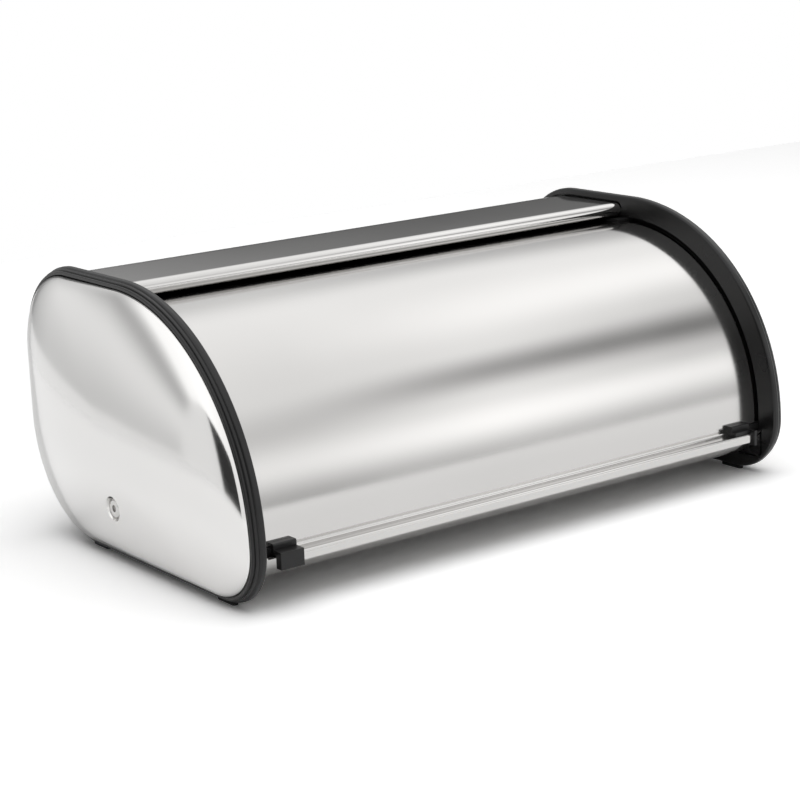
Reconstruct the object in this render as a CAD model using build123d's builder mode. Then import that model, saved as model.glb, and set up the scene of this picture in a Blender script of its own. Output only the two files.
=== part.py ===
"""Roll-top bread box: a rolled sheet body between two moulded end frames, with a curved lid pivoted on them."""
import os
from math import cos, radians, sin

from build123d import *

os.makedirs("parts", exist_ok=True)

# Overall form, in millimetres: x along the box, y from front to back, z up from the table
inner_length = 351.0
box_depth = 224.0
front_radius = 119.5
front_corner_radius = 32.0
rear_top_radius = 50.0
rear_bottom_radius = 66.0
foot_proud = 1.5

# End frames
frame_wall = 6.0
main_ridge_width = 4.4
step_width = 1.7
step_drop = 1.0
step_count = 2
rim_thickness = 3.8
main_ridge_round = 1.5
step_round = 0.7
pivot_boss_height = 1.1
pivot_boss_radius = 7.0

# Sheet metal of the body
sheet_thickness = 0.8
sheet_back_inset = 2.0
sheet_floor_inset = 9.5
sheet_rear_top_radius = 46.0
sheet_rear_bottom_radius = 58.0
sill_from_lid = 3.4
sill_bend_radius = 3.0
bead_from_axis = 13.0
bead_radius = 3.8
bead_roll = 300.0
bead_clearance = 0.9
sheet_slot_depth = 2.5

# Lid: angles are about its axis, from the back (0) over the top (90) to the front (180)
rim_proud = 14.5
lid_top_angle = 83.0
lid_low_angle = 183.0
lip_reach = 8.5
lip_height = 5.0
lip_bend_radius = 1.6
lip_end_radius = 2.4
lid_end_clearance = 0.8
lid_stop_gap = 0.3
lid_travel = 62.0

# Arms that carry the lid on its pivots, and the nuts that keep them there
arm_thickness = 1.2
arm_width = 18.0
arm_hub_radius = 10.0
arm_angle = 133.0
arm_flange_angle = 9.0
arm_flange_length = 14.0
pivot_side_gap = 0.3
pivot_clearance = 0.06
pivot_nut_radius = 5.0
pivot_nut_thickness = 3.0
pivot_nut_round = 0.8

# Track in each frame and the shoes that run in it
track_width = 4.4
track_depth = 4.2
track_end_room = 1.2
shoe_clearance = 0.3
shoe_angle = 2.4
shoe_rise_angle = 1.6
shoe_gap_angle = 0.15
guide_angle = 6.0
guide_end_angle = 0.6
guide_length = 8.0
clip_length = 12.0
clip_from_frame = 12.0
clip_wall = 1.8
clip_round = 0.8
clip_block_height = 5.0
clip_block_depth = 4.0
clip_hook_return = 2.6
seat_gap = 0.1

# Domes, their screws and the feet
dome_depth = 11.0
dome_edge_drop = 4.5
dome_shoulder_radius = 7.0
dome_rim_gap = 0.2
screw_radius = 2.0
screw_head_radius = 5.0
screw_head_height = 2.2
screw_head_round = 1.2
screw_recess_radius = 1.9
screw_recess_depth = 1.6
pocket_gap = 0.4
pocket_depth = 3.8
boss_wall = 2.5
screw_gap = 0.05
foot_length = 16.0
foot_width = 3.4
foot_sunk = 2.0
foot_corner_radius = 1.6
foot_gap = 0.05
foot_from_front = 36.0
foot_from_back = 62.0

# Places that follow from the sizes
front_y = -box_depth / 2
back_y = box_depth / 2
axis_y = front_y + front_radius
axis_z = foot_proud + front_corner_radius
top_z = axis_z + front_radius
inner_x = inner_length / 2
rim_width = main_ridge_width + step_count * step_width
lid_radius = front_radius - rim_proud
outline_radii = (front_radius, front_corner_radius, rear_bottom_radius, rear_top_radius)
outline_height = front_radius + front_corner_radius
lid_bend_z = axis_z + lid_radius * sin(radians(lid_low_angle))
lid_bend_y = axis_y + lid_radius * cos(radians(lid_low_angle))
lip_y = lid_bend_y - lip_reach
lip_bottom_z = lid_bend_z - lip_height
track_middle = lid_radius - sheet_thickness / 2
shoe_inner = track_middle - track_width / 2 + shoe_clearance
shoe_outer = track_middle + track_width / 2 - shoe_clearance
shoe_end = inner_x + track_depth - shoe_clearance
lid_end = inner_x - lid_end_clearance
lip_end = inner_x - clip_from_frame
shoe_start_angle = lid_low_angle - shoe_rise_angle
SIDES = (("left", -1), ("right", 1))


def outline(inset, radii):
    """End outline seen along x, moved in by an inset, with the radii front top, front bottom, rear, rear top."""
    front_top, front_bottom, rear_bottom, rear_top = radii
    front, back = front_y + inset, back_y - inset
    bottom, top = foot_proud + inset, top_z - inset
    with BuildSketch() as shape:
        with BuildLine():
            CenterArc((front + front_top, top - front_top), front_top, 90, 90)
            CenterArc((front + front_bottom, bottom + front_bottom), front_bottom, 180, 90)
            Line((front + front_bottom, bottom), (back - rear_bottom, bottom))
            CenterArc((back - rear_bottom, bottom + rear_bottom), rear_bottom, 270, 90)
            Line((back, bottom + rear_bottom), (back, top - rear_top))
            CenterArc((back - rear_top, top - rear_top), rear_top, 0, 90)
            Line((back - rear_top, top), (front + front_top, top))
        make_face()
    return shape.sketch


def rim_outline(inset):
    """Outline parallel to the frame's edge."""
    return outline(inset, [radius - inset for radius in outline_radii])


def arc_band(inner, outer, start, end):
    """Band about the lid's axis between two radii and two angles."""
    with BuildSketch() as shape:
        with BuildLine():
            low = CenterArc((axis_y, axis_z), inner, start, end - start)
            high = CenterArc((axis_y, axis_z), outer, start, end - start)
            Line(low @ 0, high @ 0)
            Line(low @ 1, high @ 1)
        make_face()
    return shape.sketch


# Section of the body sheet, from the sill round the floor, back and top to the rolled bead
floor_z = foot_proud + sheet_floor_inset
sill_y = lid_bend_y - sill_from_lid
sill_top_z = lid_bend_z - sheet_thickness - lid_stop_gap
sheet_top_z = axis_z + shoe_outer + bead_clearance + 2 * bead_radius
sheet_back_y = back_y - sheet_back_inset
bead_y = axis_y + bead_from_axis
with BuildSketch() as sheet_section:
    with BuildLine():
        FilletPolyline(
            (sill_y, sill_top_z),
            (sill_y, floor_z),
            (sheet_back_y, floor_z),
            (sheet_back_y, sheet_top_z),
            (bead_y, sheet_top_z),
            radius=[sill_bend_radius, sheet_rear_bottom_radius, sheet_rear_top_radius],
        )
        CenterArc((bead_y, sheet_top_z - bead_radius), bead_radius, 90, bead_roll)
        offset(amount=sheet_thickness, side=Side.LEFT)
    make_face()

# Sections of the lid: from its top edge down the arc to the finger lip, and the bare arc beside the lip
with BuildSketch() as lid_section:
    with BuildLine() as lid_line:
        lid_arc = CenterArc((axis_y, axis_z), lid_radius, lid_top_angle, lid_low_angle - lid_top_angle)
        Polyline(lid_arc @ 1, (lip_y, lid_bend_z), (lip_y, lip_bottom_z))
        fillet(lid_line.vertices(), lip_bend_radius)
        offset(amount=sheet_thickness, side=Side.LEFT)
    make_face()

bare_edge_angle = shoe_start_angle - shoe_gap_angle
lid_arc_section = arc_band(lid_radius - sheet_thickness, lid_radius, lid_top_angle, bare_edge_angle)
with BuildSketch() as lid_clearance:
    add(lid_section.sketch)
    offset(amount=seat_gap, mode=Mode.REPLACE)

# Section of a lid clip: a block on the lid's face and a cover over the lip's shelf, then the hook of the left one
clip_back_y = lid_bend_y + clip_wall
clip_block_y = lid_bend_y - clip_block_depth
clip_shelf_z = lid_bend_z + seat_gap
clip_front_y = lip_y - seat_gap
clip_hook_z = lip_bottom_z - seat_gap
sill_clear_z = sill_top_z + lid_stop_gap
with BuildSketch() as clip_section:
    with BuildLine():
        Polyline(
            (clip_back_y, clip_shelf_z),
            (clip_back_y, clip_shelf_z + clip_block_height),
            (clip_block_y, clip_shelf_z + clip_block_height),
            (clip_block_y, clip_shelf_z + clip_wall),
            (clip_front_y + lip_bend_radius, clip_shelf_z + clip_wall),
            (clip_front_y + lip_bend_radius, clip_shelf_z),
            close=True,
        )
    make_face()
    with Locations((axis_y, axis_z)):
        Circle(lid_radius + seat_gap, mode=Mode.SUBTRACT)
    add(lid_clearance.sketch, mode=Mode.SUBTRACT)
with BuildSketch() as hook_section:
    with BuildLine():
        Polyline(
            (clip_block_y, clip_shelf_z),
            (clip_block_y, clip_shelf_z + clip_wall),
            (clip_front_y - clip_wall, clip_shelf_z + clip_wall),
            (clip_front_y - clip_wall, clip_hook_z - clip_wall),
            (clip_front_y + clip_hook_return, clip_hook_z - clip_wall),
            (clip_front_y + clip_hook_return, clip_hook_z),
            (clip_front_y, clip_hook_z),
            (clip_front_y, clip_shelf_z),
            close=True,
        )
    make_face()
    add(lid_clearance.sketch, mode=Mode.SUBTRACT)
with BuildSketch() as clip_end_section:
    with BuildLine():
        Polyline(
            (clip_back_y, clip_shelf_z + clip_block_height),
            (clip_block_y, clip_shelf_z + clip_block_height),
            (clip_block_y, clip_shelf_z + clip_wall),
            (clip_front_y - clip_wall, clip_shelf_z + clip_wall),
            (clip_front_y - clip_wall, clip_hook_z - clip_wall),
            (clip_front_y + clip_hook_return, clip_hook_z - clip_wall),
            (clip_front_y + clip_hook_return, sill_clear_z),
            (clip_back_y, sill_clear_z),
            close=True,
        )
    make_face()
    with Locations((axis_y, axis_z)):
        Circle(lid_radius + seat_gap, mode=Mode.SUBTRACT)

# Sections of the track and of what runs in it
track_start = lid_top_angle - lid_travel - track_end_room
track_stop = shoe_start_angle + shoe_angle + track_end_room
track_section = arc_band(
    track_middle - track_width / 2, track_middle + track_width / 2, track_start, track_stop
)
shoe_section = arc_band(shoe_inner, shoe_outer, shoe_start_angle, shoe_start_angle + shoe_angle)
guide_section = arc_band(shoe_inner, shoe_outer, lid_top_angle - guide_end_angle, lid_top_angle + guide_angle)

# Sections of a lid arm: a strip from the pivot towards the lid, trimmed to the flange's arc
flange_outer = lid_radius - sheet_thickness - seat_gap
flange_section = arc_band(
    flange_outer - arm_thickness, flange_outer, arm_angle - arm_flange_angle, arm_angle + arm_flange_angle
)
with BuildSketch() as arm_section:
    with Locations(Location((axis_y, axis_z, 0), (0, 0, arm_angle))):
        Rectangle(lid_radius, arm_width, align=(Align.MIN, Align.CENTER))
    with Locations((axis_y, axis_z)):
        Circle(flange_outer, mode=Mode.INTERSECT)

# Body sheet
with BuildPart() as body_shell:
    with BuildSketch(Plane.YZ.offset(-inner_x - sheet_slot_depth)):
        add(sheet_section.sketch)
    extrude(amount=inner_length + 2 * sheet_slot_depth)
body_shell.part.label = "body_shell"
export_step(body_shell.part, "parts/body_shell.step")

# Lid: the arc runs into both frames, and the lip with its rounded ends stops at the clips
with BuildPart() as roll_lid:
    with BuildSketch(Plane.YZ.offset(-lip_end)):
        add(lid_section.sketch)
    extrude(amount=2 * lip_end)
    lip_corners = roll_lid.edges().filter_by(Axis.Y).group_by(Axis.Z)[0]
    fillet(lip_corners, lip_end_radius)
    with BuildSketch(Plane.YZ.offset(-lid_end)):
        add(lid_arc_section)
    extrude(amount=2 * lid_end)
roll_lid.part.label = "roll_lid"
export_step(roll_lid.part, "parts/roll_lid.step")

dome_seat_x = inner_x + frame_wall
dome_start_x = inner_x + rim_width
dome_inset = rim_thickness + dome_rim_gap
pocket_floor_x = dome_start_x + dome_depth - pocket_depth
crown_z = foot_proud + outline_height / 2
crown_bow_radius = ((outline_height / 2) ** 2 + dome_edge_drop**2) / (2 * dome_edge_drop)
boss_face_x = inner_x - pivot_boss_height
arm_x = boss_face_x - pivot_side_gap
nut_x = arm_x - arm_thickness - pivot_side_gap
screw_end_x = nut_x - pivot_nut_thickness
foot_x = inner_x + main_ridge_width / 2
foot_places = (("front", front_y + foot_from_front), ("rear", back_y - foot_from_back))

for side, sign in SIDES:
    inner_face = Plane.YZ.offset(sign * inner_x)

    # End frame: a wall with a stepped rim, hollow behind the dome
    with BuildPart() as end_frame:
        with BuildSketch(inner_face):
            add(rim_outline(0))
        extrude(amount=sign * main_ridge_width)
        fillet(end_frame.faces().filter_by(Axis.X).edges(), main_ridge_round)
        for step in range(step_count):
            with BuildSketch(inner_face.offset(sign * (main_ridge_width + step * step_width))):
                add(rim_outline((step + 1) * step_drop))
            extrude(amount=sign * step_width)
            outer_face = end_frame.faces().filter_by(Axis.X).sort_by(Axis.X)[-1 if sign > 0 else 0]
            fillet(outer_face.edges(), step_round)
        with BuildSketch(inner_face.offset(sign * frame_wall)):
            add(rim_outline(rim_thickness))
        extrude(amount=sign * rim_width, mode=Mode.SUBTRACT)
        with BuildSketch(inner_face.offset(sign * frame_wall)):
            with Locations((axis_y, axis_z)):
                Circle(screw_radius + screw_gap + boss_wall)
        extrude(amount=sign * (pocket_floor_x - sheet_thickness - dome_seat_x))
        with BuildSketch(inner_face):
            with Locations((axis_y, axis_z)):
                Circle(pivot_boss_radius)
        extrude(amount=-sign * pivot_boss_height)
        with BuildSketch(Plane.YZ.offset(sign * pocket_floor_x)):
            with Locations((axis_y, axis_z)):
                Circle(screw_radius + screw_gap)
        extrude(amount=-sign * (pocket_floor_x - screw_end_x), mode=Mode.SUBTRACT)
        with BuildSketch(inner_face):
            add(track_section)
        extrude(amount=sign * track_depth, mode=Mode.SUBTRACT)
        with BuildSketch(inner_face):
            add(sheet_section.sketch)
            offset(amount=seat_gap, mode=Mode.REPLACE)
        extrude(amount=sign * (sheet_slot_depth + seat_gap), mode=Mode.SUBTRACT)
        for place, foot_y in foot_places:
            with BuildSketch(Plane.XY.offset(foot_proud)):
                with Locations((sign * foot_x, foot_y)):
                    RectangleRounded(foot_width, foot_length, foot_corner_radius)
            extrude(amount=foot_sunk, mode=Mode.SUBTRACT)
    end_frame.part.label = f"{side}_end_frame"
    export_step(end_frame.part, f"parts/{side}_end_frame.step")

    # Rubber feet, each pressed into a recess of the rim
    for place, foot_y in foot_places:
        with BuildPart() as foot:
            with BuildSketch(Plane.XY):
                with Locations((sign * foot_x, foot_y)):
                    RectangleRounded(foot_width, foot_length, foot_corner_radius)
                offset(amount=-foot_gap, mode=Mode.REPLACE)
            extrude(amount=foot_proud + foot_sunk)
        foot.part.label = f"{side}_{place}_foot"
        export_step(foot.part, f"parts/{side}_{place}_foot.step")

    # Dome: a skirt inside the rim and a crown that bows both ways, with a rounded shoulder
    dome_solids = []
    for wall in (0, sheet_thickness):
        with BuildPart() as dome_solid:
            crown_x = sign * (dome_start_x + dome_depth - wall)
            crown_edge_x = crown_x - sign * dome_edge_drop
            crown_axis_x = crown_x - sign * crown_bow_radius
            with BuildSketch(Plane.YZ.offset(sign * dome_seat_x)):
                add(rim_outline(dome_inset + wall))
            extrude(amount=sign * (dome_start_x + dome_depth - dome_seat_x))
            with BuildSketch(Plane.XY.offset(crown_z)):
                with BuildLine():
                    bow = ThreePointArc((crown_edge_x, front_y), (crown_x, 0), (crown_edge_x, back_y))
                    Polyline(bow @ 1, (crown_axis_x, back_y), (crown_axis_x, front_y), bow @ 0)
                make_face()
            revolve(axis=Axis((crown_axis_x, 0, crown_z), (0, 1, 0)), mode=Mode.INTERSECT)
            crown = dome_solid.faces().sort_by(Axis.X)[-1 if sign > 0 else 0]
            fillet(crown.edges(), dome_shoulder_radius - wall)
            with BuildSketch(Plane.YZ.offset(sign * (pocket_floor_x - wall))):
                with Locations((axis_y, axis_z)):
                    Circle(screw_head_radius + pocket_gap + wall)
            extrude(amount=sign * dome_depth, mode=Mode.SUBTRACT)
        dome_solids.append(dome_solid.part)
    with BuildPart() as end_dome:
        add(dome_solids[0])
        add(dome_solids[1], mode=Mode.SUBTRACT)
        with BuildSketch(Plane.YZ.offset(sign * pocket_floor_x)):
            with Locations((axis_y, axis_z)):
                Circle(screw_radius + screw_gap)
        extrude(amount=-sign * 2 * sheet_thickness, mode=Mode.SUBTRACT)
    end_dome.part.label = f"{side}_end_dome"
    export_step(end_dome.part, f"parts/{side}_end_dome.step")

    # Screw in the dome's pocket: its shank goes through the frame's boss and is the lid's pivot
    with BuildPart() as dome_screw:
        with BuildSketch(Plane.YZ.offset(sign * pocket_floor_x)):
            with Locations((axis_y, axis_z)):
                Circle(screw_head_radius)
        extrude(amount=sign * screw_head_height)
        outer_face = dome_screw.faces().filter_by(Axis.X).sort_by(Axis.X)[-1 if sign > 0 else 0]
        fillet(outer_face.edges(), screw_head_round)
        with BuildSketch(Plane.YZ.offset(sign * (pocket_floor_x + screw_head_height))):
            with Locations((axis_y, axis_z)):
                Circle(screw_recess_radius)
        extrude(amount=-sign * screw_recess_depth, mode=Mode.SUBTRACT)
        with BuildSketch(Plane.YZ.offset(sign * pocket_floor_x)):
            with Locations((axis_y, axis_z)):
                Circle(screw_radius)
        extrude(amount=-sign * (pocket_floor_x - screw_end_x))
    dome_screw.part.label = f"{side}_dome_screw"
    export_step(dome_screw.part, f"parts/{side}_dome_screw.step")

    # Nut that keeps the arm on the pivot
    with BuildPart() as pivot_nut:
        with BuildSketch(Plane.YZ.offset(sign * nut_x)):
            with Locations((axis_y, axis_z)):
                Circle(pivot_nut_radius)
        extrude(amount=-sign * pivot_nut_thickness)
        inner_end = pivot_nut.faces().filter_by(Axis.X).sort_by(Axis.X)[0 if sign > 0 else -1]
        fillet(inner_end.edges(), pivot_nut_round)
        with BuildSketch(Plane.YZ.offset(sign * nut_x)):
            with Locations((axis_y, axis_z)):
                Circle(screw_radius + screw_gap)
        extrude(amount=-sign * pivot_nut_thickness, mode=Mode.SUBTRACT)
    pivot_nut.part.label = f"{side}_pivot_nut"
    export_step(pivot_nut.part, f"parts/{side}_pivot_nut.step")

    # Arm from the pivot to a flange that lies against the inside of the lid
    with BuildPart() as lid_arm:
        with BuildSketch(Plane.YZ.offset(sign * arm_x)):
            with Locations((axis_y, axis_z)):
                Circle(arm_hub_radius)
            add(arm_section.sketch)
        extrude(amount=-sign * arm_thickness)
        with BuildSketch(Plane.YZ.offset(sign * arm_x)):
            add(flange_section)
        extrude(amount=-sign * arm_flange_length)
        with BuildSketch(Plane.YZ.offset(sign * arm_x)):
            with Locations((axis_y, axis_z)):
                Circle(screw_radius + pivot_clearance)
        extrude(amount=-sign * arm_thickness, mode=Mode.SUBTRACT)
    lid_arm.part.label = f"{side}_lid_arm"
    export_step(lid_arm.part, f"parts/{side}_lid_arm.step")

    # Clip at the lip's end, with a shoe out to the track. Only the left one hooks round the lip's front
    clip_x = lip_end + seat_gap - clip_length
    with BuildPart() as lid_clip:
        with BuildSketch(Plane.YZ.offset(sign * clip_x)):
            add(clip_section.sketch)
            if side == "left":
                add(hook_section.sketch)
        extrude(amount=sign * clip_length)
        with BuildSketch(Plane.YZ.offset(sign * (lip_end + seat_gap))):
            add(clip_end_section.sketch)
        extrude(amount=sign * clip_wall)
        with BuildSketch(Plane.YZ.offset(sign * (lip_end + seat_gap))):
            add(shoe_section)
        extrude(amount=sign * (shoe_end - lip_end - seat_gap))
        block_edges = lid_clip.edges().filter_by(Axis.X).group_by(Axis.Z)[-1].group_by(Axis.Y)[0]
        fillet(block_edges, clip_round)
    lid_clip.part.label = f"{side}_lid_clip"
    export_step(lid_clip.part, f"parts/{side}_lid_clip.step")

    # Upper guide: a shoe that grips the lid's upper corner
    with BuildPart() as upper_guide:
        with BuildSketch(Plane.YZ.offset(sign * (lid_end - guide_length))):
            add(guide_section)
        extrude(amount=sign * (shoe_end - lid_end + guide_length))
        with BuildSketch(Plane.YZ.offset(sign * (lid_end + seat_gap))):
            add(lid_clearance.sketch)
        extrude(amount=-sign * 2 * guide_length, mode=Mode.SUBTRACT)
    upper_guide.part.label = f"{side}_upper_guide"
    export_step(upper_guide.part, f"parts/{side}_upper_guide.step")
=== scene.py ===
"""Roll-top bread box: its rolled steel, moulded ends and rubber feet, and the studio that it stands in."""
import math

import bmesh
import bpy
from mathutils import Matrix, Vector


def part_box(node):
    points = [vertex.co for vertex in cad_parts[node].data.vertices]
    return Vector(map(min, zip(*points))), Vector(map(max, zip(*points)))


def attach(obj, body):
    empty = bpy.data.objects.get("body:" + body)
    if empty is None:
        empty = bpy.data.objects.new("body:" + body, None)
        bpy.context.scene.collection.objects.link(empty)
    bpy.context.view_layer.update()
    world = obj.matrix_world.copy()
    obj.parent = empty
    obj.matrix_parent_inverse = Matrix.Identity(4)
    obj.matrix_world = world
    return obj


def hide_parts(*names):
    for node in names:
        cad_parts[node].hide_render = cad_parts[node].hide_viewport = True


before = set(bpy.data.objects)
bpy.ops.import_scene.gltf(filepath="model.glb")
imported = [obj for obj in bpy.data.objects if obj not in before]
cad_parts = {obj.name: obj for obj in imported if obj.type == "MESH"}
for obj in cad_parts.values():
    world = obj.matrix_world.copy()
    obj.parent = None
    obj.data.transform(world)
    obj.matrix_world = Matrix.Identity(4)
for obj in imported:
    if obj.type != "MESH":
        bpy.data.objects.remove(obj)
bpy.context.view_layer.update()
scene = bpy.context.scene
scene.view_settings.view_transform = "Standard"


# Body: one stainless sheet, rolled from the front sill through floor and back to a bead along the top.
# It was polished along the length of the box, which leaves hair-fine lines and faint cloudy patches.
# The end frames hold its two ends.
STEEL_TINTS = ((0.54, 0.532, 0.522, 1), (0.585, 0.577, 0.567, 1))
STEEL_PATCHES = 9.0
LINE_STRENGTH = 0.15
NOISE_LOW, NOISE_HIGH = 0.3, 0.7


def polish_group():
    """Fine lines along a stretched direction, and broad cloudy patches, both from 0 to 1."""
    group = bpy.data.node_groups.new("polish_lines", "ShaderNodeTree")
    for label in ("Vector", "Stretch"):
        group.interface.new_socket(label, in_out="INPUT", socket_type="NodeSocketVector")
    group.interface.new_socket("Patch Scale", in_out="INPUT", socket_type="NodeSocketFloat")
    for label in ("Lines", "Patches"):
        group.interface.new_socket(label, in_out="OUTPUT", socket_type="NodeSocketFloat")
    nodes, links = group.nodes, group.links
    source = nodes.new("NodeGroupInput")
    target = nodes.new("NodeGroupOutput")
    stretch = nodes.new("ShaderNodeVectorMath")
    stretch.operation = "MULTIPLY"
    links.new(source.outputs["Vector"], stretch.inputs[0])
    links.new(source.outputs["Stretch"], stretch.inputs[1])
    lines = nodes.new("ShaderNodeTexNoise")
    lines.inputs["Scale"].default_value = 1.0
    lines.inputs["Detail"].default_value = 3.0
    links.new(stretch.outputs[0], lines.inputs["Vector"])
    patches = nodes.new("ShaderNodeTexNoise")
    patches.inputs["Detail"].default_value = 2.0
    links.new(source.outputs["Vector"], patches.inputs["Vector"])
    links.new(source.outputs["Patch Scale"], patches.inputs["Scale"])
    links.new(lines.outputs["Fac"], target.inputs["Lines"])
    links.new(patches.outputs["Fac"], target.inputs["Patches"])
    return group


POLISH = polish_group()


def new_material(name):
    """A material, with its nodes and links."""
    material = bpy.data.materials.new(name)
    material.use_nodes = True
    return material, material.node_tree.nodes, material.node_tree.links


def grained(name, tints, roughness, stretch, patch_scale, relief):
    """A finish between two tints and two roughness values, cloudy in patches, with fine lines or grain."""
    material, nodes, links = new_material(name)
    shader = nodes["Principled BSDF"]
    coordinates = nodes.new("ShaderNodeTexCoord")
    polish = nodes.new("ShaderNodeGroup")
    polish.node_tree = POLISH
    polish.inputs["Stretch"].default_value = stretch
    polish.inputs["Patch Scale"].default_value = patch_scale
    links.new(coordinates.outputs["Object"], polish.inputs["Vector"])
    tint = nodes.new("ShaderNodeMix")
    tint.data_type = "RGBA"
    tint.inputs["A"].default_value, tint.inputs["B"].default_value = tints
    links.new(polish.outputs["Patches"], tint.inputs["Factor"])
    links.new(tint.outputs["Result"], shader.inputs["Base Color"])
    gloss = nodes.new("ShaderNodeMapRange")
    gloss.inputs["From Min"].default_value = NOISE_LOW
    gloss.inputs["From Max"].default_value = NOISE_HIGH
    gloss.inputs["To Min"].default_value, gloss.inputs["To Max"].default_value = roughness
    links.new(polish.outputs["Patches"], gloss.inputs["Value"])
    links.new(gloss.outputs["Result"], shader.inputs["Roughness"])
    bump = nodes.new("ShaderNodeBump")
    bump.name = "fine_relief"
    bump.inputs["Strength"].default_value, bump.inputs["Distance"].default_value = relief
    links.new(polish.outputs["Lines"], bump.inputs["Height"])
    links.new(bump.outputs["Normal"], shader.inputs["Normal"])
    return material


def polished_steel(name, tints, roughness, stretch, line_depth):
    """Stainless steel, with its polishing lines stretched as given."""
    material = grained(name, tints, roughness, stretch, STEEL_PATCHES, (LINE_STRENGTH, line_depth))
    material.node_tree.nodes["Principled BSDF"].inputs["Metallic"].default_value = 1.0
    return material


SHEET_ROUGHNESS, SHEET_LINES = (0.1, 0.15), (5, 1400, 1400)
SHEET_LINE_DEPTH = 2e-6
SHEET_THICKNESS = 0.0008
SHEET_LENGTH = 0.3508
SHEET_CUT = math.radians(40)
shell_low, shell_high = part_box("body_shell")
SHEET_FLOOR = shell_low.z + SHEET_THICKNESS
SHEET_BACK = shell_high.y - SHEET_THICKNESS
SHEET_TOP = shell_high.z - SHEET_THICKNESS
SILL_START, SILL_CENTRE = (-0.1015, 0.0269), (-0.08, 0.0335)
SILL_TURN, SILL_STEPS = 73, 18
REAR_LOW_RADIUS, REAR_TOP_RADIUS = 0.058, 0.046
REAR_TURN, REAR_STEPS = 90, 28
BEAD_BACK, BEAD_RADIUS = 0.0205, 0.0044
BEAD_ROLL, BEAD_STEPS = 300, 30


def bend(shape, tip, centre, degrees, steps):
    """Rolls the sheet's edge line on from its tip about a centre, and gives the new tip."""
    turned = bmesh.ops.spin(
        shape,
        geom=[tip],
        cent=(tip.co.x, *centre),
        axis=(1, 0, 0),
        angle=math.radians(degrees),
        steps=steps,
        use_duplicate=False,
    )
    return turned["geom_last"][0]


def run_flat(shape, tip, place):
    """Runs the sheet's edge line straight on to a place, and gives the new tip."""
    made = bmesh.ops.extrude_vert_indiv(shape, verts=[tip])["verts"][0]
    made.co = (tip.co.x, *place)
    return made


def new_object(name, shape, material):
    """An object at the origin from a finished shape, in one material."""
    mesh = bpy.data.meshes.new(name)
    shape.to_mesh(mesh)
    shape.free()
    mesh.materials.append(material)
    made = bpy.data.objects.new(name, mesh)
    scene.collection.objects.link(made)
    return made


def sheet_piece(name, shape, material, outward, cut_angle):
    """A sheet from a bare surface: turned to face outwards, smoothed, and given its wall and cut edges."""
    shape.normal_update()
    furthest = max(shape.faces, key=lambda face: outward.dot(face.calc_center_median()))
    if outward.dot(furthest.normal) < 0:
        bmesh.ops.reverse_faces(shape, faces=shape.faces)
    for face in shape.faces:
        face.smooth = True
    piece = new_object(name, shape, material)
    wall = piece.modifiers.new("wall", "SOLIDIFY")
    wall.thickness = SHEET_THICKNESS
    wall.offset = -1
    edges = piece.modifiers.new("cut_edges", "EDGE_SPLIT")
    edges.split_angle = cut_angle
    return piece


sheet_steel = polished_steel("sheet_steel", STEEL_TINTS, SHEET_ROUGHNESS, SHEET_LINES, SHEET_LINE_DEPTH)
rear_low = (SHEET_BACK - REAR_LOW_RADIUS, SHEET_FLOOR + REAR_LOW_RADIUS)
rear_top = (SHEET_BACK - REAR_TOP_RADIUS, SHEET_TOP - REAR_TOP_RADIUS)
bead = (BEAD_BACK, SHEET_TOP - BEAD_RADIUS)
shape = bmesh.new()
tip = shape.verts.new((-SHEET_LENGTH / 2, *SILL_START))
tip = bend(shape, tip, SILL_CENTRE, SILL_TURN, SILL_STEPS)
tip = run_flat(shape, tip, (rear_low[0], SHEET_FLOOR))
tip = bend(shape, tip, rear_low, REAR_TURN, REAR_STEPS)
tip = run_flat(shape, tip, (SHEET_BACK, rear_top[1]))
tip = bend(shape, tip, rear_top, REAR_TURN, REAR_STEPS)
tip = run_flat(shape, tip, (BEAD_BACK, SHEET_TOP))
bend(shape, tip, bead, BEAD_ROLL, BEAD_STEPS)
drawn = bmesh.ops.extrude_edge_only(shape, edges=shape.edges[:])["geom"]
far_edge = [part for part in drawn if isinstance(part, bmesh.types.BMVert)]
bmesh.ops.translate(shape, verts=far_edge, vec=(SHEET_LENGTH, 0, 0))
sheet = sheet_piece("body_sheet", shape, sheet_steel, Vector((0, 1, 0)), SHEET_CUT)
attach(sheet, "box")
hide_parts("body_shell")


# End frames: one black plastic moulding at each end, with a stepped rim and the track that guides the lid.
# Its satin grain is fine enough to show only as a soft sheen from a distance.
PLASTIC_TINTS = ((0.006, 0.006, 0.0062, 1), (0.011, 0.0108, 0.011, 1))
PLASTIC_PATCHES = 24.0
PLASTIC_RELIEF = (0.25, 3e-5)
PLASTIC_SPECULAR = 0.35
FRAME_ROUGHNESS, FRAME_GRAIN = (0.26, 0.36), 1600


def moulded_plastic(name, roughness, grain):
    """Black plastic or rubber with a fine moulded grain and a broad change in sheen."""
    material = grained(name, PLASTIC_TINTS, roughness, (grain, grain, grain), PLASTIC_PATCHES, PLASTIC_RELIEF)
    shader = material.node_tree.nodes["Principled BSDF"]
    shader.inputs["Specular IOR Level"].default_value = PLASTIC_SPECULAR
    return material


def dress(material, *names):
    """Puts one finish on whole nodes of the frame."""
    for name in names:
        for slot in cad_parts[name].material_slots:
            slot.material = material


dress(moulded_plastic("frame_plastic", FRAME_ROUGHNESS, FRAME_GRAIN), "left_end_frame", "right_end_frame")


# End domes: caps drawn from stainless sheet, set inside the frames' rims.
# They are buffed without a direction, so their gloss is even, and each has a sunk seat for one screw.
# Their tints are lighter than the body's steel. This is painted light that makes their reflections brighter
# than the lid's.
DOME_LIT_TINTS = ((0.68, 0.673, 0.663, 1), (0.725, 0.718, 0.708, 1))
DOME_ROUGHNESS, DOME_LINES = (0.11, 0.16), (260, 260, 260)
DOME_LINE_DEPTH = 1e-6
BOW_CENTRE = (0.0, 0.005, 0.045)
BOW_SPAN = (1.0, 0.108, 0.072)
BOW_DEPTH = 0.012


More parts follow.
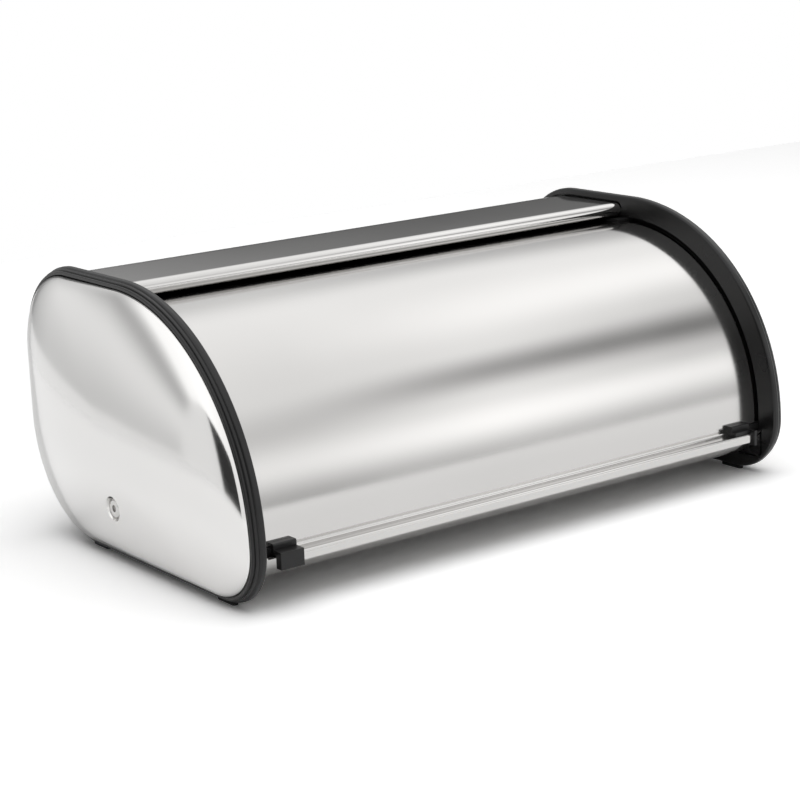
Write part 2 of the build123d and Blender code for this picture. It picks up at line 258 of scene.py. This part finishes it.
def deepen(material):
    """Adds a broad bow to the shading, lowest at the dome's edge, under the finer polish."""
    nodes, links = material.node_tree.nodes, material.node_tree.links
    coordinates = nodes.new("ShaderNodeTexCoord")
    place = nodes.new("ShaderNodeMapping")
    place.vector_type = "TEXTURE"
    place.inputs["Location"].default_value = BOW_CENTRE
    place.inputs["Scale"].default_value = BOW_SPAN
    links.new(coordinates.outputs["Object"], place.inputs["Vector"])
    flat = nodes.new("ShaderNodeVectorMath")
    flat.operation = "MULTIPLY"
    flat.inputs[1].default_value = (0, 1, 1)
    links.new(place.outputs["Vector"], flat.inputs[0])
    fall = nodes.new("ShaderNodeVectorMath")
    fall.operation = "DOT_PRODUCT"
    links.new(flat.outputs["Vector"], fall.inputs[0])
    links.new(flat.outputs["Vector"], fall.inputs[1])
    bow = nodes.new("ShaderNodeBump")
    bow.invert = True
    bow.inputs["Strength"].default_value = 1.0
    bow.inputs["Distance"].default_value = BOW_DEPTH
    links.new(fall.outputs["Value"], bow.inputs["Height"])
    links.new(bow.outputs["Normal"], nodes["fine_relief"].inputs["Normal"])


# A dome's edge is a box with four round corners, each given by its radius, rear or front, top or bottom.
DOME_CORNERS = ((0.1155, False, True), (0.028, False, False), (0.062, True, False), (0.046, True, True))
DOME_LOW, DOME_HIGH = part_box("right_end_dome")
EDGE_INSET, APEX_INSET = 0.0002, 0.0001
DOME_EDGE = DOME_LOW.x + EDGE_INSET
DOME_APEX = Vector((DOME_HIGH.x - APEX_INSET, 0.0, 0.05))
DOME_BOW, DOME_SHOULDER = 1.8, 3.0
DOME_CELLS = (96, 72)
DOME_CUT = math.radians(50)
EDGE_PRECISION = 1e-7


def in_dome(y, z):
    """Whether a place lies inside the dome's edge."""
    if not (DOME_LOW.y <= y <= DOME_HIGH.y and DOME_LOW.z <= z <= DOME_HIGH.z):
        return False
    for radius, rear, top in DOME_CORNERS:
        past_y = y - DOME_HIGH.y + radius if rear else DOME_LOW.y + radius - y
        past_z = z - DOME_HIGH.z + radius if top else DOME_LOW.z + radius - z
        if past_y > 0 and past_z > 0 and math.hypot(past_y, past_z) > radius:
            return False
    return True


def dome_reach(turn):
    """How far the dome's edge lies from its apex in one direction."""
    near, far = 0.0, DOME_HIGH.y - DOME_LOW.y
    while far - near > EDGE_PRECISION:
        middle = (near + far) / 2
        if in_dome(DOME_APEX.y + middle * math.cos(turn), DOME_APEX.z + middle * math.sin(turn)):
            near = middle
        else:
            far = middle
    return near


def dome_height(share):
    """How far the dome stands out, at a share of the way from its apex to its edge."""
    rise = max(0.0, 1 - share**DOME_BOW) ** (1 / DOME_SHOULDER)
    return DOME_EDGE + rise * (DOME_APEX.x - DOME_EDGE)


def swell(vert, sign):
    """Moves a place of a flat square to the dome: its edge to the dome's edge, its middle to the apex."""
    across, upward = vert.co.x, vert.co.y
    share = math.sin(max(abs(across), abs(upward)) * math.pi / 2)
    span_y = DOME_HIGH.y - DOME_APEX.y if across > 0 else DOME_APEX.y - DOME_LOW.y
    span_z = DOME_HIGH.z - DOME_APEX.z if upward > 0 else DOME_APEX.z - DOME_LOW.z
    turn = math.atan2(upward * span_z, across * span_y)
    out = share * dome_reach(turn)
    y, z = DOME_APEX.y + out * math.cos(turn), DOME_APEX.z + out * math.sin(turn)
    vert.co = (sign * dome_height(share), y, z)


def lay_on_dome(vert, sign):
    """Brings a vertex to the dome's face, straight along the box."""
    y, z = vert.co.y - DOME_APEX.y, vert.co.z - DOME_APEX.z
    vert.co.x = sign * dome_height(math.hypot(y, z) / dome_reach(math.atan2(z, y)))


SEAT_RADIUS, SEAT_WALL, SEAT_HOLE = 0.0068, 0.0058, 0.0026
SEAT_DEPTH = 0.0028
SEAT_PATCH, SEAT_SURROUND = 0.013, 0.0195
SEAT_CUTS = 3


def sink_seat(shape, sign, centre):
    """Sinks the screw's seat into the dome: a sloping wall, a floor, and a hole for the shank."""

    def off_centre(point):
        return math.hypot(point.y - centre.y, point.z - centre.z)

    def near_seat(face, radius):
        return off_centre(face.calc_center_median()) < radius

    patch = [edge for edge in shape.edges if any(near_seat(face, SEAT_PATCH) for face in edge.link_faces)]
    bmesh.ops.subdivide_edges(shape, edges=patch, cuts=SEAT_CUTS, use_grid_fill=True)
    bordering = [face for face in shape.faces if len(face.verts) > 4]
    bmesh.ops.poke(shape, faces=bordering)
    for vert in shape.verts:
        if off_centre(vert.co) < SEAT_SURROUND:
            lay_on_dome(vert, sign)
    sunk = [face for face in shape.faces if near_seat(face, SEAT_RADIUS)]
    bmesh.ops.delete(shape, geom=sunk, context="FACES")
    ring = [edge for edge in shape.edges if edge.is_boundary and off_centre(edge.verts[0].co) < SEAT_PATCH]
    for radius, depth in ((SEAT_RADIUS, 0), (SEAT_WALL, SEAT_DEPTH), (SEAT_HOLE, SEAT_DEPTH)):
        if depth:
            drawn = bmesh.ops.extrude_edge_only(shape, edges=ring)["geom"]
            ring = [part for part in drawn if isinstance(part, bmesh.types.BMEdge) and part.is_boundary]
        for vert in dict.fromkeys(vert for edge in ring for vert in edge.verts):
            turn = math.atan2(vert.co.z - centre.z, vert.co.y - centre.y)
            vert.co.y = centre.y + radius * math.cos(turn)
            vert.co.z = centre.z + radius * math.sin(turn)
            lay_on_dome(vert, sign)
            vert.co.x -= sign * depth


dome_steel = polished_steel("dome_steel", DOME_LIT_TINTS, DOME_ROUGHNESS, DOME_LINES, DOME_LINE_DEPTH)
deepen(dome_steel)
for side, sign in (("left", -1), ("right", 1)):
    shape = bmesh.new()
    bmesh.ops.create_grid(shape, x_segments=DOME_CELLS[0], y_segments=DOME_CELLS[1], size=1)
    for vert in shape.verts:
        swell(vert, sign)
    screw_low, screw_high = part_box(f"{side}_dome_screw")
    sink_seat(shape, sign, (screw_low + screw_high) / 2)
    bmesh.ops.recalc_face_normals(shape, faces=shape.faces)
    cap = sheet_piece(f"{side}_dome_cap", shape, dome_steel, Vector((sign, 0, 0)), DOME_CUT)
    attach(cap, "box")
    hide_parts(f"{side}_end_dome")


# Dome screws and pivot nuts: turned from steel and left bright.
# Each screw holds a dome to the frame's boss, and its nut carries the lid's arm on the inside.
SCREW_ROUGHNESS, SCREW_LINES = (0.16, 0.24), (900, 900, 900)
SCREW_LINE_DEPTH = 4e-6
screw_steel = polished_steel("screw_steel", STEEL_TINTS, SCREW_ROUGHNESS, SCREW_LINES, SCREW_LINE_DEPTH)
dress(screw_steel, "left_dome_screw", "right_dome_screw", "left_pivot_nut", "right_pivot_nut")


# Lid: a curved sheet of the body's steel with a finger lip, on two flat steel arms.
# Moulded clips on the lip and guides at the upper corners keep it in the frames' tracks.
CLIP_ROUGHNESS, CLIP_GRAIN = (0.36, 0.46), 1900
dress(sheet_steel, "roll_lid", "left_lid_arm", "right_lid_arm")
clip_plastic = moulded_plastic("clip_plastic", CLIP_ROUGHNESS, CLIP_GRAIN)
dress(clip_plastic, "left_lid_clip", "right_lid_clip", "left_upper_guide", "right_upper_guide")


# Feet: soft black rubber pads under the end frames.
# They are moulded, dull, and a little uneven in their sheen.
FOOT_ROUGHNESS, FOOT_GRAIN = (0.7, 0.85), 2400
foot_rubber = moulded_plastic("foot_rubber", FOOT_ROUGHNESS, FOOT_GRAIN)
dress(foot_rubber, "left_front_foot", "left_rear_foot", "right_front_foot", "right_rear_foot")


# Floor: a sheet of matt white paper that takes the soft shadow of the box.
# What is seen of it is lighter than what it gives back as light, and it fades to white away from the box.
STUDIO_WHITE = (1, 1, 1, 1)
FLOOR_HALF = 1.6
FLOOR_FORWARD = 0.7
FLOOR_WHITE = (0.8, 0.8, 0.8, 1)
FLOOR_SEEN = (1.2, 1.2, 1.2, 1)
FLOOR_FADE = (0.3, 0.85)
FLOOR_LIFT = 0.1


def seen_or_mirrored(nodes, links):
    """1 on rays from the camera, a reflection or a clear piece, and 0 on rays that light other surfaces."""
    path = nodes.new("ShaderNodeLightPath")
    seen = path.outputs["Is Camera Ray"]
    for ray in ("Is Glossy Ray", "Is Transmission Ray"):
        either = nodes.new("ShaderNodeMath")
        either.operation = "MAXIMUM"
        links.new(seen, either.inputs[0])
        links.new(path.outputs[ray], either.inputs[1])
        seen = either.outputs[0]
    return seen


def matt_paper():
    """White paper, with a lift in brightness that grows with the distance from the box."""
    material, nodes, links = new_material("matt_paper")
    shader = nodes["Principled BSDF"]
    shader.inputs["Roughness"].default_value = 1.0
    shader.inputs["Specular IOR Level"].default_value = 0.0
    shader.inputs["Emission Color"].default_value = STUDIO_WHITE
    seen = seen_or_mirrored(nodes, links)
    tone = nodes.new("ShaderNodeMix")
    tone.data_type = "RGBA"
    tone.inputs["A"].default_value = FLOOR_WHITE
    tone.inputs["B"].default_value = FLOOR_SEEN
    links.new(seen, tone.inputs["Factor"])
    links.new(tone.outputs["Result"], shader.inputs["Base Color"])
    coordinates = nodes.new("ShaderNodeTexCoord")
    reach = nodes.new("ShaderNodeVectorMath")
    reach.operation = "LENGTH"
    links.new(coordinates.outputs["Object"], reach.inputs[0])
    fade = nodes.new("ShaderNodeMapRange")
    fade.interpolation_type = "SMOOTHSTEP"
    fade.inputs["From Min"].default_value, fade.inputs["From Max"].default_value = FLOOR_FADE
    fade.inputs["To Max"].default_value = FLOOR_LIFT
    links.new(reach.outputs["Value"], fade.inputs["Value"])
    lift = nodes.new("ShaderNodeMath")
    lift.operation = "MULTIPLY"
    links.new(fade.outputs["Result"], lift.inputs[0])
    links.new(seen, lift.inputs[1])
    links.new(lift.outputs[0], shader.inputs["Emission Strength"])
    return material


shape = bmesh.new()
bmesh.ops.create_grid(shape, x_segments=1, y_segments=1, size=FLOOR_HALF)
bmesh.ops.translate(shape, verts=shape.verts, vec=(0, -FLOOR_FORWARD, 0))
floor = new_object("paper_floor", shape, matt_paper())


# Light tent: a half tunnel of glowing cloth over the box, seen only in the gloss.
# Each list below gives its brightness by the angle from the front (0) over the top (90) to the back (180).
# The lists hold at four places along x, from beyond the left end to the right, and blend between them.
TENT_RADIUS = 3.0
TENT_HALF = 5.0
TENT_STEPS = 64
TENT_STRENGTH = 1.85
TENT_LOW, TENT_HIGH = -6.0, 180.0
TENT_PLACES = (-0.6, 1.7, 2.25, 2.9)
TENT_END = [(0, 0.55), (90, 0.8), (125, 0.75), (145, 0.3), (160, 0.55), (180, 0.4)]
TENT_LEFT = [
    (0, 0.35), (20, 0.75), (40, 0.5), (60, 0.65), (120, 0.75), (150, 0.5), (160, 0.15), (180, 0.05),
]
TENT_MIDDLE = [
    (0, 0.5), (20, 1.0), (35, 0.8), (50, 0.3), (65, 0.75), (90, 0.9), (125, 0.75), (150, 0.4), (160, 0.1),
    (180, 0.05),
]
TENT_RIGHT = [
    (0, 0.4), (20, 0.8), (35, 0.5), (50, 0.15), (70, 0.6), (95, 0.9), (120, 0.75), (145, 0.35), (160, 0.1),
    (180, 0.05),
]


def tent_ramp(nodes, links, angle, stops):
    """Brightness of the cloth along its arc, from a short list of angle and value."""
    ramp = nodes.new("ShaderNodeValToRGB")
    ramp.color_ramp.interpolation = "EASE"
    elements = ramp.color_ramp.elements
    while len(elements) < len(stops):
        elements.new(0.5)
    for element, (degrees, value) in zip(elements, stops):
        element.position = (degrees - TENT_LOW) / (TENT_HIGH - TENT_LOW)
        element.color = (value, value, value, 1)
    links.new(angle, ramp.inputs["Fac"])
    return ramp.outputs["Color"]


def tent_cloth():
    """Glowing cloth whose brightness changes along its arc and its length."""
    material, nodes, links = new_material("tent_cloth")
    nodes.remove(nodes["Principled BSDF"])
    coordinates = nodes.new("ShaderNodeTexCoord")
    parts = nodes.new("ShaderNodeSeparateXYZ")
    links.new(coordinates.outputs["Object"], parts.inputs[0])
    front = nodes.new("ShaderNodeMath")
    front.operation = "MULTIPLY"
    front.inputs[1].default_value = -1
    links.new(parts.outputs["Y"], front.inputs[0])
    angle = nodes.new("ShaderNodeMath")
    angle.operation = "ARCTAN2"
    links.new(parts.outputs["Z"], angle.inputs[0])
    links.new(front.outputs[0], angle.inputs[1])
    place = nodes.new("ShaderNodeMapRange")
    place.inputs["From Min"].default_value = math.radians(TENT_LOW)
    place.inputs["From Max"].default_value = math.radians(TENT_HIGH)
    links.new(angle.outputs[0], place.inputs["Value"])
    colour = tent_ramp(nodes, links, place.outputs["Result"], TENT_END)
    for start, end, stops in zip(TENT_PLACES, TENT_PLACES[1:], (TENT_LEFT, TENT_MIDDLE, TENT_RIGHT)):
        share = nodes.new("ShaderNodeMapRange")
        share.inputs["From Min"].default_value = start
        share.inputs["From Max"].default_value = end
        links.new(parts.outputs["X"], share.inputs["Value"])
        mix = nodes.new("ShaderNodeMix")
        mix.data_type = "RGBA"
        links.new(share.outputs["Result"], mix.inputs["Factor"])
        links.new(colour, mix.inputs["A"])
        links.new(tent_ramp(nodes, links, place.outputs["Result"], stops), mix.inputs["B"])
        colour = mix.outputs["Result"]
    glow = nodes.new("ShaderNodeEmission")
    glow.inputs["Strength"].default_value = TENT_STRENGTH
    links.new(colour, glow.inputs["Color"])
    links.new(glow.outputs[0], nodes["Material Output"].inputs["Surface"])
    return material


shape = bmesh.new()
ends = [shape.verts.new((x, -TENT_RADIUS, 0)) for x in (-TENT_HALF, TENT_HALF)]
edge = shape.edges.new(ends)
bmesh.ops.spin(
    shape,
    geom=[edge, *ends],
    cent=(0, 0, 0),
    axis=(-1, 0, 0),
    angle=math.pi,
    steps=TENT_STEPS,
    use_merge=False,
)
tent = new_object("light_tent", shape, tent_cloth())
tent.visible_camera = False
tent.visible_diffuse = False


# Softbox: a broad lamp overhead that lights the floor and the plastic.
# It is kept out of the gloss, which the tent fills.
SOFTBOX_PLACE = (0.0, -0.6, 2.4)
SOFTBOX_SIZE = (3.4, 3.0)
SOFTBOX_POWER = 58.0
softbox_lamp = bpy.data.lights.new("softbox", "AREA")
softbox_lamp.shape = "RECTANGLE"
softbox_lamp.size, softbox_lamp.size_y = SOFTBOX_SIZE
softbox_lamp.energy = SOFTBOX_POWER
softbox = bpy.data.objects.new("softbox", softbox_lamp)
softbox.location = SOFTBOX_PLACE
softbox.visible_glossy = False
scene.collection.objects.link(softbox)


# Flag: a board of black velvet that stands to the left of the box.
# The shoulder of the near dome mirrors it as a dark streak.
FLAG_PLACE = (-1.65, -0.7, 0.55)
FLAG_HALF = (0.85, 0.55)
FLAG_TURN = math.radians(-68)
FLAG_BLACK = (0.02, 0.02, 0.02, 1)
velvet, velvet_nodes = new_material("black_velvet")[:2]
velvet_shader = velvet_nodes["Principled BSDF"]
velvet_shader.inputs["Base Color"].default_value = FLAG_BLACK
velvet_shader.inputs["Roughness"].default_value = 1.0
shape = bmesh.new()
bmesh.ops.create_grid(shape, x_segments=1, y_segments=1, size=1)
bmesh.ops.scale(shape, verts=shape.verts, vec=(*FLAG_HALF, 1))
for turn, axis in ((math.pi / 2, "X"), (FLAG_TURN, "Z")):
    bmesh.ops.rotate(shape, verts=shape.verts, cent=(0, 0, 0), matrix=Matrix.Rotation(turn, 3, axis))
bmesh.ops.translate(shape, verts=shape.verts, vec=FLAG_PLACE)
flag = new_object("black_flag", shape, velvet)
flag.visible_camera = False
flag.visible_diffuse = False
flag.visible_shadow = False


# Surroundings: white to the eye and in the gloss.
# Elsewhere they give only a dim fill.
FILL_STRENGTH = 0.42
world = bpy.data.worlds.new("white_studio")
world.use_nodes = True
scene.world = world
world_nodes, world_links = world.node_tree.nodes, world.node_tree.links
white = world_nodes["Background"]
white.inputs["Color"].default_value = STUDIO_WHITE
white.inputs["Strength"].default_value = 1.0
fill = world_nodes.new("ShaderNodeBackground")
fill.inputs["Strength"].default_value = FILL_STRENGTH
choice = world_nodes.new("ShaderNodeMixShader")
world_links.new(seen_or_mirrored(world_nodes, world_links), choice.inputs["Fac"])
world_links.new(fill.outputs[0], choice.inputs[1])
world_links.new(white.outputs[0], choice.inputs[2])
world_links.new(choice.outputs[0], world_nodes["World Output"].inputs["Surface"])


# Camera: in front of the box's left end and a little above it.
# It leans slightly to one side.
CAMERA_PLACE = Vector((-0.7211, -0.9637, 0.3574))
CAMERA_AZIMUTH = math.radians(-36.43)
CAMERA_ELEVATION = math.radians(13.92)
CAMERA_LEAN = math.radians(-2.24)
CAMERA_LENS = 98.2
back = Vector(
    (
        math.sin(CAMERA_AZIMUTH) * math.cos(CAMERA_ELEVATION),
        -math.cos(CAMERA_AZIMUTH) * math.cos(CAMERA_ELEVATION),
        math.sin(CAMERA_ELEVATION),
    )
)
level = Vector((math.cos(CAMERA_AZIMUTH), math.sin(CAMERA_AZIMUTH), 0))
right = Matrix.Rotation(CAMERA_LEAN, 3, back) @ level
up = back.cross(right)
camera_data = bpy.data.cameras.new("camera")
camera_data.lens = CAMERA_LENS
camera = bpy.data.objects.new("camera", camera_data)
scene.collection.objects.link(camera)
camera.matrix_world = Matrix.Translation(CAMERA_PLACE) @ Matrix((right, up, back)).transposed().to_4x4()
scene.camera = camera
